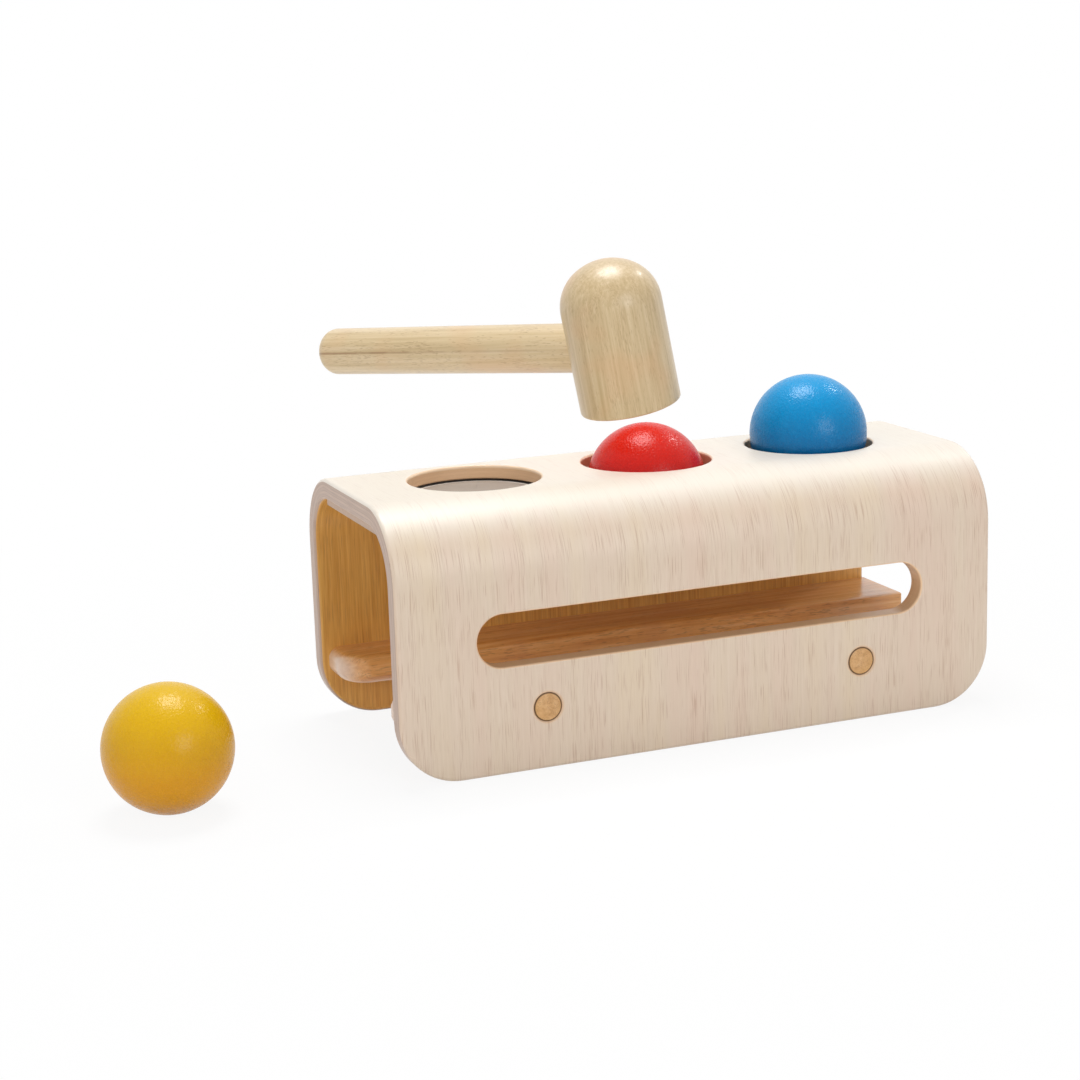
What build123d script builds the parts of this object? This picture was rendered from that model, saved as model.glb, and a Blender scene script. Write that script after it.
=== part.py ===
from build123d import *
from math import acos, asin, atan2, cos, degrees, radians, sin, sqrt
import os

# Ball pounding bench in wood: a bent plywood bench with three holes, a slit rubber
# grip under each hole, two track rails below, three painted balls and a hammer.
# Millimetres, +Z up, +X along the bench. The origin is the middle of the front
# leg's standing edge. Everything is built about the bench's own centre line and
# moved to that origin when it is written.

# Ball: over 44.45 mm, the smallest ball allowed for a child under three
ball_diameter = 46.0

# Bent plywood bench
bench_length = 240.0
bench_width = 105.0
bench_height = 98.5
ply_thickness = 8.0
leg_corner_radius = 23.0
edge_round = 1.5

# Flat part of the top between the two bends, which takes the holes
top_flat_width = 51.0

# Holes in the top, and the pocket under each that takes a rubber grip
hole_diameter = 50.0
hole_count = 3
hole_rim_round = 0.8
hole_lower_chamfer = 0.5
pocket_diameter = 58.0
pocket_depth = 2.7

# Share of the wood left along the top that stands between two holes
bridge_share = 2 / 9

# Viewing slot in the front leg
slot_length = 180.0
slot_height = 19.5
slot_centre_height = 49.5
slot_rim_round = 0.9

# Rubber grips: a rim bead that is clamped, a web and eight petals
grip_clearance = 0.2
grip_web_thickness = 2.0
grip_bead_width = 1.4
petal_root_radius = 24.0
petal_count = 8
petal_thickness = 1.5
petal_clearance = 0.35
petal_overlap = 0.6
slit_width = 0.12

# Where a slit lies between the middles of two neighbouring petals
slit_share = 0.5

# Retainer strip that holds the grips up in their pockets
strip_thickness = 2.8
strip_width = 60.0
strip_end_inset = 1.6
strip_hole_diameter = 52.4
strip_edge_round = 0.6
strip_clearance = 0.05

# Track rails: the gap between them widens to the left, so a ball sinks as it rolls out
rail_width = 31.5
rail_spread = 10.0
rail_thickness = 11.0
rail_centre_height = 23.0
rail_left_inset = 3.2
rail_plan_round = 12.0

# Rounding of a rail's edges, full at its nose and fading to the right end
rail_nose_round = 4.8
rail_nose_skin = 0.1
rail_round_fade = 3.0

# Plug and screw joints between each leg and its rail
plug_diameter = 10.8
plug_length = 4.0
plug_inset = 0.3
plug_crown = 0.6
plug_fit = 0.05
plug_bore_bevel = 0.35
plug_end_inset = 56.0
rail_screw_diameter = 4.0
rail_screw_head_diameter = 8.0
rail_screw_length = 24.0
screw_fit = 0.03
screw_head_clearance = 0.05

# Short screws that hold the retainer strip
strip_screw_diameter = 3.0
strip_screw_head_diameter = 5.6
strip_screw_length = 6.8
strip_screw_side = 22.0
strip_screw_end_inset = 9.0

# Shares of a countersunk screw's own sizes
head_land_share = 0.08
tip_share = 0.8
recess_span_share = 0.5
recess_width_share = 0.14
recess_depth_share = 0.2

# Balls as photographed: the blue one rests on its grip, the red one is being
# driven through, the yellow one has rolled out on the floor
blue_centre_over_top = 3.9
red_centre_under_top = 8.8
yellow_roll_out = 78.8
yellow_side = 36.5

# Hammer
head_diameter = 38.5
head_length = 57.0
head_dome_height = 17.7
head_crown_radius = 21.0
head_face_round = 1.0
handle_diameter = 19.0
handle_reach = 152.7
handle_height_on_head = 22.9
handle_grip_round = 6.2
handle_socket_depth = 4.0
tenon_diameter = 12.0
tenon_length = 22.0
tenon_bevel = 0.8
handle_fit = 0.05

# Hammer's pose over the red ball
hammer_gap = 8.1
hammer_lean = 11.4
hammer_lean_toward = 188.1
hammer_handle_toward = 120.1

# One overrun for every cut, and how near an edge lies to the size it is looked up by
overrun = 3.0
lookup_tolerance = 0.25

# Sizes that follow from those above
ball_radius = ball_diameter / 2
bend_radius = (bench_width - top_flat_width) / 2
inner_half_width = bench_width / 2 - ply_thickness
underside = bench_height - ply_thickness
pocket_ceiling = underside + pocket_depth
inner_bend_radius = bend_radius - ply_thickness
rail_inner_side = inner_half_width - rail_width
leg_middle = bench_width / 2 - ply_thickness / 2
wood_along_top = bench_length - hole_count * hole_diameter
hole_pitch = hole_diameter + bridge_share * wood_along_top
hole_places = [(i - (hole_count - 1) / 2) * hole_pitch for i in range(hole_count)]
left_hole, middle_hole, right_hole = hole_places
blue_height = bench_height + blue_centre_over_top
red_height = bench_height - red_centre_under_top


# Bent plywood bench: an inverted U, pressed from veneers over a former
def cavity_section(margin):
    """Section across the tunnel under the bench, shrunk by a margin."""
    section = Rectangle(
        2 * (inner_half_width - margin),
        underside - margin + overrun,
        align=(Align.CENTER, Align.MAX),
    ).moved(Location((0, underside - margin)))
    upper = section.vertices().group_by(Axis.Y)[-1]
    return fillet(upper, inner_bend_radius - margin)


def bench_shell():
    section = Rectangle(bench_width, bench_height, align=(Align.CENTER, Align.MIN))
    section = fillet(section.vertices().group_by(Axis.Y)[-1], bend_radius)
    section -= cavity_section(0)
    shell = extrude(Plane.YZ * section, bench_length / 2, both=True)
    feet = shell.edges().filter_by(Axis.Y).group_by(Axis.Z)[0]
    shell = fillet(feet, leg_corner_radius)
    rims = ShapeList()
    for edge in shell.edges():
        along_x = abs(edge.tangent_at(0).X) > abs(edge.tangent_at(0).Y)
        along_x = along_x and edge.geom_type == GeomType.LINE
        across = edge.geom_type == GeomType.LINE
        across = across and abs(edge.tangent_at(0).Y) > abs(edge.tangent_at(0).Z)
        low = edge.center().Z < slot_centre_height
        if along_x and edge.center().Z > edge_round:
            continue
        if across and not along_x and low:
            continue
        rims.append(edge)
    return fillet(rims, edge_round)


def plug_places():
    """Joint places along the bench on one leg."""
    reach = bench_length / 2 - plug_end_inset
    return [-reach, reach]


def joint_cutter(x, side):
    """Stepped bore for one plug and its screw, cut from outside the leg inwards."""
    face = bench_width / 2
    deep = face - plug_length - plug_inset
    head_r = rail_screw_head_diameter / 2 + screw_head_clearance
    shank_r = rail_screw_diameter / 2 + screw_fit
    head_h = (rail_screw_head_diameter - rail_screw_diameter) / 2
    plug_r = plug_diameter / 2 + plug_fit
    outline = [
        (0, face + overrun),
        (plug_r + plug_bore_bevel + overrun, face + overrun),
        (plug_r, face - plug_bore_bevel),
        (plug_r, deep),
        (head_r, deep),
        (head_r, deep - head_land_share * rail_screw_head_diameter),
        (shank_r, deep - head_h - head_land_share * rail_screw_head_diameter),
        (shank_r, deep - rail_screw_length - screw_fit),
        (0, deep - rail_screw_length - screw_fit),
    ]
    shape = revolve(Plane.XZ * make_face(Polyline(outline, close=True)), Axis.Z)
    turn = Location((x, 0, rail_centre_height), (-90 * side, 0, 0))
    return shape.moved(turn)


def ring_edges(shape, height, radius):
    """Circular edges of one radius at one height."""
    found = ShapeList()
    for edge in shape.edges().filter_by(GeomType.CIRCLE):
        level = abs(edge.center().Z - height) < lookup_tolerance
        if level and abs(edge.radius - radius) < lookup_tolerance:
            found.append(edge)
    return found


def bent_plywood_body():
    body = bench_shell()
    for x in hole_places:
        hole = Cylinder(hole_diameter / 2, 2 * (ply_thickness + overrun))
        body -= hole.moved(Location((x, 0, bench_height)))
        pocket = Cylinder(
            pocket_diameter / 2,
            pocket_depth + overrun,
            align=(Align.CENTER, Align.CENTER, Align.MAX),
        )
        body -= pocket.moved(Location((x, 0, pocket_ceiling)))
    body = fillet(ring_edges(body, bench_height, hole_diameter / 2), hole_rim_round)
    lower = ring_edges(body, pocket_ceiling, hole_diameter / 2)
    body = chamfer(lower, hole_lower_chamfer)

    slot = Plane.XZ * SlotOverall(slot_length, slot_height)
    slot = extrude(slot, 2 * ply_thickness, both=True)
    body -= slot.moved(Location((0, -leg_middle, slot_centre_height)))
    slot_rims = ShapeList()
    for edge in body.edges():
        middle = edge.center()
        inside = abs(middle.Z - slot_centre_height) < slot_height
        inside = inside and abs(middle.X) < slot_length / 2
        off_face = abs(abs(middle.Y + leg_middle) - ply_thickness / 2)
        on_leg = off_face < lookup_tolerance
        if inside and on_leg:
            slot_rims.append(edge)
    body = fillet(slot_rims, slot_rim_round)

    for side in (-1, 1):
        for x in plug_places():
            body -= joint_cutter(x, side)
    for place in strip_screw_places():
        body -= strip_screw_bore(place)
    return body


# Rubber grips: the photographed grey sheet in each hole
def petal_path(ball_height):
    """Side view of a petal bent down round a ball that sits in the grip.

    From its root the petal runs straight to where it touches the ball's
    clearance circle, then follows that circle for the rest of its length.
    Returns the circle's radius, the angle where they touch and the tip angle.
    """
    reach = ball_radius + petal_clearance
    drop = ball_height - grip_top()
    root_angle = atan2(-drop, petal_root_radius)
    away = sqrt(petal_root_radius ** 2 + drop ** 2)
    straight = sqrt(away ** 2 - reach ** 2)
    touch = root_angle - acos(reach / away)
    tip = touch - (petal_root_radius - straight) / reach
    return reach, touch, tip


def grip_top():
    return underside + grip_web_thickness


def grip_ring():
    """Clamped rim bead with a flat web inside it."""
    rim = pocket_diameter / 2 - grip_clearance
    bead = rim - grip_bead_width
    outline = [
        (petal_root_radius - petal_overlap, underside),
        (rim, underside),
        (rim, pocket_ceiling),
        (bead, pocket_ceiling),
        (bead, grip_top()),
        (petal_root_radius - petal_overlap, grip_top()),
    ]
    return revolve(Plane.XZ * make_face(Polyline(outline, close=True)), Axis.Z)


def grip_with_ball(ball_height):
    """Rubber grip whose petals are bent down round a ball at the given height."""
    reach, touch, tip = petal_path(ball_height)
    outer = reach + petal_thickness
    middle = (touch + tip) / 2

    def on_circle(radius, angle):
        return (radius * cos(angle), ball_height + radius * sin(angle))

    root_in = (petal_root_radius, grip_top())
    root_out = (petal_root_radius + petal_thickness / 2, underside)
    inner_line = Line(root_in, on_circle(reach, touch))
    inner_arc = ThreePointArc(
        on_circle(reach, touch), on_circle(reach, middle), on_circle(reach, tip)
    )
    tip_line = Line(on_circle(reach, tip), on_circle(outer, tip))
    outer_arc = ThreePointArc(
        on_circle(outer, tip), on_circle(outer, middle), on_circle(outer, touch)
    )
    outer_line = Line(on_circle(outer, touch), root_out)
    root_line = Line(root_out, root_in)
    side_view = make_face(
        [inner_line, inner_arc, tip_line, outer_arc, outer_line, root_line]
    )
    skirt = revolve(Plane.XZ * side_view, Axis.Z)

    # the gaps between bent petals: one star whose points reach the roots
    star = []
    tip_radius = reach * cos(tip)
    for k in range(petal_count):
        at_petal = 2 * pi_share(k)
        at_slit = 2 * pi_share(k + slit_share)
        star.append((tip_radius * cos(at_petal), tip_radius * sin(at_petal)))
        star.append((petal_root_radius * cos(at_slit), petal_root_radius * sin(at_slit)))
    gaps = extrude(make_face(Polyline(star, close=True)), ball_diameter, both=True)
    skirt -= gaps.moved(Location((0, 0, ball_height)))
    return grip_ring() + skirt


def pi_share(k):
    """Half the angle, in radians, to a petal's middle."""
    return radians(180) * k / petal_count


def grip_flat():
    """Rubber grip at rest: a flat sheet with straight slits that meet at its centre."""
    web = Cylinder(
        petal_root_radius,
        grip_web_thickness,
        align=(Align.CENTER, Align.CENTER, Align.MIN),
    )
    grip = grip_ring() + web.moved(Location((0, 0, underside)))
    for k in range(petal_count // 2):
        slit = Box(2 * petal_root_radius, slit_width, 2 * ply_thickness)
        turn = degrees(2 * pi_share(k + slit_share))
        grip -= slit.moved(Location((0, 0, underside), (0, 0, turn)))
    return grip


# Countersunk screws, drawn with the head's flat face at zero and the tip below
def screw(diameter, head_diameter, length):
    shank_r = diameter / 2
    head_r = head_diameter / 2
    land = head_land_share * head_diameter
    head_h = land + head_r - shank_r
    outline = [
        (0, 0),
        (head_r, 0),
        (head_r, -land),
        (shank_r, -head_h),
        (shank_r, -length + tip_share * diameter),
        (0, -length),
    ]
    body = revolve(Plane.XZ * make_face(Polyline(outline, close=True)), Axis.Z)
    span = recess_span_share * head_diameter
    width = recess_width_share * head_diameter
    depth = recess_depth_share * head_diameter
    return body - Box(span, width, 2 * depth) - Box(width, span, 2 * depth)


def rail_screws(side):
    """Two screws through one leg into its rail, heads under the plugs."""
    deep = side * (bench_width / 2 - plug_length - plug_inset)
    one = screw(rail_screw_diameter, rail_screw_head_diameter, rail_screw_length)
    found = []
    for x in plug_places():
        found.append(one.moved(Location((x, deep, rail_centre_height), (-90 * side, 0, 0))))
    return Compound(found)


def plugs(side):
    """Two turned wooden plugs with low domes that close the screw bores of one leg."""
    rim = plug_diameter / 2
    dome = (rim ** 2 + plug_crown ** 2) / (2 * plug_crown)
    half = asin(rim / dome) / 2
    on_dome = (dome * sin(half), plug_crown - dome + dome * cos(half))
    top = ThreePointArc((rim, 0), on_dome, (0, plug_crown))
    rest = Polyline((0, plug_crown), (0, -plug_length), (rim, -plug_length), (rim, 0))
    one = revolve(Plane.XZ * make_face([top, *rest.edges()]), Axis.Z)
    face = side * (bench_width / 2 - plug_inset)
    found = []
    for x in plug_places():
        found.append(one.moved(Location((x, face, rail_centre_height), (-90 * side, 0, 0))))
    return Compound(found)


# Retainer strip and its screws
def strip_screw_places():
    end = bench_length / 2 - strip_end_inset - strip_screw_end_inset
    along = [-end, -hole_pitch / 2, hole_pitch / 2, end]
    return [(x, y) for x in along for y in (-strip_screw_side, strip_screw_side)]


def strip_screw_bore(place):
    """Blind bore up into the plywood for one strip screw."""
    depth = strip_screw_length - strip_thickness + screw_fit
    bore = Cylinder(
        strip_screw_diameter / 2 + screw_fit,
        depth + overrun,
        align=(Align.CENTER, Align.CENTER, Align.MAX),
    )
    return bore.moved(Location((*place, underside + depth)))


def retainer_strip():
    length = bench_length - 2 * strip_end_inset
    strip = Box(
        length, strip_width, strip_thickness, align=(Align.CENTER, Align.CENTER, Align.MAX)
    )
    strip = fillet(strip.edges().group_by(Axis.Z)[0], strip_edge_round)
    strip = strip.moved(Location((0, 0, underside)))
    cavity = extrude(Plane.YZ * cavity_section(strip_clearance), length, both=True)
    cavity = cavity.moved(Location((0, 0, strip_clearance)))
    strip = strip & cavity
    for x in hole_places:
        hole = Cylinder(strip_hole_diameter / 2, 2 * ply_thickness)
        strip -= hole.moved(Location((x, 0, underside)))
    lower = ring_edges(strip, underside - strip_thickness, strip_hole_diameter / 2)
    strip = fillet(lower, strip_edge_round)
    head_r = strip_screw_head_diameter / 2 + screw_head_clearance
    shank_r = strip_screw_diameter / 2 + screw_fit
    land = head_land_share * strip_screw_head_diameter
    sink = [
        (0, -overrun),
        (head_r, -overrun),
        (head_r, land),
        (shank_r, land + head_r - shank_r),
        (shank_r, strip_thickness + overrun),
        (0, strip_thickness + overrun),
    ]
    cutter = revolve(Plane.XZ * make_face(Polyline(sink, close=True)), Axis.Z)
    for place in strip_screw_places():
        strip -= cutter.moved(Location((*place, underside - strip_thickness)))
    return strip


def strip_screws():
    one = screw(strip_screw_diameter, strip_screw_head_diameter, strip_screw_length)
    found = []
    for place in strip_screw_places():
        found.append(one.moved(Location((*place, underside - strip_thickness), (180, 0, 0))))
    return Compound(found)


# Track rails: a slat against each leg, narrower towards the end where the balls leave
def rail_blank(skin, fade, height):
    """Slat with a tapering plan and a round nose, grown by a skin that widens by a fade."""
    left = -bench_length / 2 + rail_left_inset - skin
    right = bench_length / 2
    outline = [
        (left, inner_half_width),
        (left, rail_inner_side + rail_spread - skin),
        (right, rail_inner_side - skin - fade),
        (right, inner_half_width),
    ]
    plan = make_face(Polyline(outline, close=True))
    nose = plan.vertices().group_by(Axis.X)[0].sort_by(Axis.Y)[0]
    plan = fillet(nose, rail_plan_round + skin)
    blank = extrude(plan, height / 2, both=True)
    return blank.moved(Location((0, 0, rail_centre_height)))


def rail(side):
    # the rounded blank lies further off towards the right, so its rounding fades out
    rounded = rail_blank(rail_nose_skin, rail_round_fade, rail_thickness)
    run = ShapeList()
    for edge in rounded.edges():
        off_face = abs(abs(edge.center().Z - rail_centre_height) - rail_thickness / 2)
        at_back = abs(edge.center().Y - inner_half_width) < lookup_tolerance
        at_right = abs(edge.center().X - bench_length / 2) < lookup_tolerance
        if off_face < lookup_tolerance and not at_back and not at_right:
            run.append(edge)
    rounded = fillet(run, rail_nose_round)
    slat = rail_blank(0, 0, rail_thickness + 2 * overrun) & rounded
    if side < 0:
        slat = slat.mirror(Plane.XZ)
    for x in plug_places():
        slat -= joint_cutter(x, side)
    return slat


# Balls: turned wood, painted
def ball(x, y, z):
    return Sphere(ball_radius).moved(Location((x, y, z)))


# Hammer: a domed turned head and a plain dowel handle with a tenon
def hammer_plane():
    """The head's frame: Z up its axis, X out along the handle, origin on the face."""
    lean = radians(hammer_lean)
    toward = radians(hammer_lean_toward)
    up = Vector(sin(lean) * cos(toward), sin(lean) * sin(toward), cos(lean))
    out = Vector(cos(radians(hammer_handle_toward)), sin(radians(hammer_handle_toward)), 0)
    out = (out - up * out.dot(up)).normalized()
    centre = Vector(middle_hole, 0, red_height)
    return Plane(origin=centre + up * (ball_radius + hammer_gap), x_dir=out, z_dir=up)


def handle_line():
    """Turns a shape drawn about +Z so that it runs out along the handle."""
    return Location((0, 0, handle_height_on_head), (0, 90, 0))


def hammer_head():
    radius = head_diameter / 2
    shoulder = head_length - head_dome_height
    drop = head_crown_radius - head_dome_height
    turned = radius ** 2 + head_dome_height ** 2 - 2 * head_crown_radius * head_dome_height
    soft = turned / (2 * (radius - head_crown_radius))
    meet = atan2(drop, radius - soft)

    def on_shoulder(angle):
        return (radius - soft + soft * cos(angle), shoulder + soft * sin(angle))

    def on_crown(angle):
        return (
            head_crown_radius * cos(angle),
            shoulder - drop + head_crown_radius * sin(angle),
        )

    top = radians(90)
    side = Line((radius, 0), (radius, shoulder))
    turn = ThreePointArc((radius, shoulder), on_shoulder(meet / 2), on_shoulder(meet))
    crown = ThreePointArc(on_shoulder(meet), on_crown((meet + top) / 2), (0, head_length))
    spine = Line((0, head_length), (0, 0))
    foot = Line((0, 0), (radius, 0))
    head = revolve(Plane.YZ * make_face([side, turn, crown, spine, foot]), Axis.Z)
    head = fillet(head.edges().filter_by(GeomType.CIRCLE).group_by(Axis.Z)[0], head_face_round)
    seat = radius - handle_socket_depth
    socket = Cylinder(
        handle_diameter / 2 + handle_fit,
        head_diameter,
        align=(Align.CENTER, Align.CENTER, Align.MIN),
    ).moved(Location((0, 0, seat)))
    bore = Cylinder(
        tenon_diameter / 2 + handle_fit,
        head_diameter,
        align=(Align.CENTER, Align.CENTER, Align.MIN),
    ).moved(Location((0, 0, seat - tenon_length - handle_fit)))
    head -= (socket + bore).moved(handle_line())
    return hammer_plane() * head


def hammer_handle():
    seat = head_diameter / 2 - handle_socket_depth
    grip = Cylinder(
        handle_diameter / 2,
        handle_reach - seat,
        align=(Align.CENTER, Align.CENTER, Align.MIN),
    )
    grip = fillet(grip.edges().group_by(Axis.Z)[-1], handle_grip_round)
    tenon = Cylinder(
        tenon_diameter / 2, tenon_length, align=(Align.CENTER, Align.CENTER, Align.MAX)
    )
    tenon = chamfer(tenon.edges().group_by(Axis.Z)[0], tenon_bevel)
    handle = (grip + tenon).moved(Location((0, 0, seat)))
    return hammer_plane() * handle.moved(handle_line())


yellow_x = -bench_length / 2 - yellow_roll_out

nodes = {
    "bent_plywood_body": bent_plywood_body(),
    "grip_left": grip_flat().moved(Location((left_hole, 0, 0))),
    "grip_middle": grip_with_ball(red_height).moved(Location((middle_hole, 0, 0))),
    "grip_right": grip_with_ball(blue_height).moved(Location((right_hole, 0, 0))),
    "retainer_strip": retainer_strip(),
    "retainer_screws": strip_screws(),
    "front_rail": rail(-1),
    "rear_rail": rail(1),
    "front_rail_screws": rail_screws(-1),
    "rear_rail_screws": rail_screws(1),
    "front_plugs": plugs(-1),
    "rear_plugs": plugs(1),
    "blue_ball": ball(right_hole, 0, blue_height),
    "red_ball": ball(middle_hole, 0, red_height),
    "yellow_ball": ball(yellow_x, -yellow_side, ball_radius),
    "hammer_head": hammer_head(),
    "hammer_handle": hammer_handle(),
}

# Written about the middle of the front leg's standing edge
os.makedirs("parts", exist_ok=True)
for name, shape in nodes.items():
    export_step(shape.moved(Location((0, leg_middle, 0))), f"parts/{name}.step")
    print(name, len(shape.solids()), round(shape.volume), shape.is_valid)
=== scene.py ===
# %% [markdown]
# # A ball pounding bench in wood
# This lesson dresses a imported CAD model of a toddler's pounding bench: a bench
# pressed from plywood, rubber grips, brown track rails, three painted balls and a
# turned hammer. The CAD solids already have the right shapes and places, so they
# could simply be given colours. Wood would look like plastic that way, so most of
# the lesson is about materials that know how the wood was cut, pressed and turned.

# %% Load the frame
from math import atan2, cos, pi, radians, sin, sqrt

import bpy
import numpy as np
from mathutils import Matrix, Vector


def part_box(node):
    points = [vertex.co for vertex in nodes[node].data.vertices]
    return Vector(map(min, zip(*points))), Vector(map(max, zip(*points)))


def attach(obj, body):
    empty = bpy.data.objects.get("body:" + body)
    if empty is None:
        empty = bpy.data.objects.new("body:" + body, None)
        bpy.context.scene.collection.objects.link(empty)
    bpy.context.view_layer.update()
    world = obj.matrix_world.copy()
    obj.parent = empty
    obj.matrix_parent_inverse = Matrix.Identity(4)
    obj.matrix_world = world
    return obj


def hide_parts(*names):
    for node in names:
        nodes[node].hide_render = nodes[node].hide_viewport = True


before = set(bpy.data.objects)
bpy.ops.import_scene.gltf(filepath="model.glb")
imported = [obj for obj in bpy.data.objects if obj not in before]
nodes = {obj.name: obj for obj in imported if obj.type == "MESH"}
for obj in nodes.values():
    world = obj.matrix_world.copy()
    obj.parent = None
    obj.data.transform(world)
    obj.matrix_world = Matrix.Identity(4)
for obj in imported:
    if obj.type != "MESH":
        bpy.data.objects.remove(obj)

scene = bpy.context.scene
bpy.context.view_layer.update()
MM = 0.001

# %% [markdown]
# ## Sizes
# Everything that lines up with the bench is worked out from the frame, so that a
# later change of size is followed. Only what a box can't tell, such as the wall of
# the plywood and the radius of its bends, is written here, in millimetres.

# %% Sizes of the bench
PLY = 8.0
BEND_RADIUS = 27.0
LAYERS = 7
HOLE_RADIUS = 25.0
SLOT_HALF_LENGTH, SLOT_RADIUS, SLOT_HEIGHT = 90.0, 9.75, 49.5


def middle_and_half(node):
    """Middle and half size of a solid's box, in mm."""
    low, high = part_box(node)
    return (low + high) / 2 / MM, (high - low) / 2 / MM


bench_box_middle, bench_half = middle_and_half("bent_plywood_body")
bench_middle, bench_height = bench_box_middle.y, 2 * bench_half.z
bend_side = bench_half.y - BEND_RADIUS
bend_height = bench_height - BEND_RADIUS
hole_pitch = middle_and_half("grip_middle")[0].x - middle_and_half("grip_left")[0].x
plug_middle, plug_half = middle_and_half("front_plugs")
plug_radius = plug_half.z
plug_side = plug_half.x - plug_radius
print("holes", round(hole_pitch, 1), "mm apart, plugs", round(2 * plug_radius, 1), "mm wide")
print("bench, mm:", round(2 * bench_half.y, 1), "wide,", round(bench_height, 1), "high")

# %% [markdown]
# ## Camera
# The photograph was taken from the front left, a little above the bench. Its place,
# turn and lens were fitted to the bench's outlines and the balls, whose size is
# known. A camera could also be aimed at the object by eye, but then no edge would
# land where the photograph has it. The image is taken as 1080 pixels square.

# %% Camera from the fitted view
IMAGE_PX = 1080
FOCAL_PX = 2280.7
SENSOR_MM = 36.0
CAMERA_MM = (-351.8, -734.8, 260.4)
TURN, DROP, ROLL = radians(-21.417), radians(12.627), radians(-1.843)

ahead = Vector((-sin(TURN) * cos(DROP), cos(TURN) * cos(DROP), -sin(DROP)))
level_right = ahead.cross(Vector((0, 0, 1))).normalized()
level_up = level_right.cross(ahead)
image_right = level_right * cos(ROLL) + level_up * sin(ROLL)
image_up = level_up * cos(ROLL) - level_right * sin(ROLL)

camera = bpy.data.objects.new("camera", bpy.data.cameras.new("camera"))
camera.data.sensor_width = SENSOR_MM
camera.data.lens = SENSOR_MM * FOCAL_PX / IMAGE_PX
camera.data.clip_start = 0.05
camera.matrix_world = Matrix.Translation(Vector(CAMERA_MM) * MM) @ Matrix(
    (image_right, image_up, -ahead)
).transposed().to_4x4()
scene.collection.objects.link(camera)
scene.camera = camera
print("camera: lens", round(camera.data.lens, 1), "mm")

# %% [markdown]
# ## Small helpers
# Colours are picked as sRGB hex values, the way a screen shows them, and the
# shaders need linear light, so one function turns them. One more function adds a
# shader node with its settings and feeds its sockets: a plain value is written on
# the socket, and another node, or one of its outputs, is linked to it. Some nodes
# show other outputs when a setting changes, so a node stands for its first live one.
# Each kind's name begins with ShaderNode in Blender, so that much is added here.

# %% Colour and node helpers
def linear(hex_colour):
    """sRGB hex to linear RGBA: the lower part is divided by 12.92, the rest is a 2.4 power."""
    parts = [int(hex_colour[i:i + 2], 16) / 255 for i in (1, 3, 5)]
    light = [c / 12.92 if c <= 0.04045 else ((c + 0.055) / 1.055) ** 2.4 for c in parts]
    return (*light, 1.0)


def feed(tree, node, inputs):
    """Gives sockets, by name or number, a plain value, an output, or a node's live output."""
    for socket, value in inputs.items():
        if isinstance(value, bpy.types.Node):
            value = next(output for output in value.outputs if output.enabled)
        if isinstance(value, bpy.types.NodeSocket):
            tree.links.new(value, node.inputs[socket])
        else:
            node.inputs[socket].default_value = value


def add(tree, kind, inputs=None, **settings):
    """Adds one node with its settings, and feeds its sockets."""
    node = tree.nodes.new("ShaderNode" + kind)
    for name, value in settings.items():
        setattr(node, name, value)
    feed(tree, node, inputs or {})
    return node


def empty_tree(owner):
    """The node tree of a new material or world, with nothing in it."""
    owner.use_nodes = True
    owner.node_tree.nodes.clear()
    return owner.node_tree


def new_material(name, finish):
    """A material with its shader and output. finish holds what is the same all over."""
    material = bpy.data.materials.new(name)
    tree = empty_tree(material)
    shader = add(tree, "BsdfPrincipled", finish)
    add(tree, "OutputMaterial", {"Surface": shader})
    return material, tree, shader


def millimetres(tree, centre=(0, 0, 0), turn=(0, 0, 0)):
    """The point on the piece in mm, counted from a centre along turned axes."""
    place = {
        "Vector": add(tree, "TexCoord").outputs["Object"],
        "Location": Vector(centre) * MM,
        "Rotation": turn,
        "Scale": (MM, MM, MM),
    }
    return add(tree, "Mapping", place, vector_type="TEXTURE")


print("mid grey in linear light:", [round(c, 3) for c in linear("#808080")])

# %% [markdown]
# ## Grain
# Wood shows two things along its fibres: soft streaks where growth was fast or
# slow, and pores, which are cut open as fine dark lines. Both can be painted as an
# image, but a noise that is stretched along the grain gives them on any cut, because
# it is solid: it runs through the wood, and a cut end shows dots where a side shows
# lines. Pores also crowd together in some years' growth, so a slower noise across the
# grain lets more of them through there. Real pores are 0.1 to 0.2 mm wide, too fine
# for this view, so they are drawn about twice as wide, and wider still under paint.

# %% Grain from stretched noise
STREAK_RUN = 40
# pores crowd in patches this many pore widths wide and pore lengths long
CROWD_WIDTH, CROWD_RUN, CROWD_SHARE = 14, 7, 0.35
PORE_SOFTNESS = 0.08


def grain(tree, vector, streak_mm, pore_mm, pore_run, level):
    """Streaks and pores that run along the vector's Z.

    Each is a noise whose point is divided by its width across the grain and by its
    length along it. Pores are a fine noise, plus a share of a slow one, above a
    level. Returns both, from 0 to 1.
    """
    noises = []
    for width, run, detail, roughness in (
        (streak_mm, streak_mm * STREAK_RUN, 4, 0.6),
        (pore_mm, pore_run, 1, 0.5),
        (pore_mm * CROWD_WIDTH, pore_run * CROWD_RUN, 1, 0.5),
    ):
        stretch = {"Vector": vector, "Scale": (1 / width, 1 / width, 1 / run)}
        point = add(tree, "Mapping", stretch)
        kind = {"Vector": point, "Scale": 1, "Detail": detail, "Roughness": roughness}
        noises.append(add(tree, "TexNoise", kind))
    streak, fine, slow = noises
    crowded = add(
        tree, "Math", {0: slow, 1: CROWD_SHARE, 2: fine}, operation="MULTIPLY_ADD"
    )
    start = level + CROWD_SHARE / 2
    pore = add(
        tree,
        "MapRange",
        {"Value": crowded, "From Min": start, "From Max": start + PORE_SOFTNESS},
        interpolation_type="SMOOTHSTEP",
    )
    return streak, pore


print("grain: streaks run", STREAK_RUN, "times their width")

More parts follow.
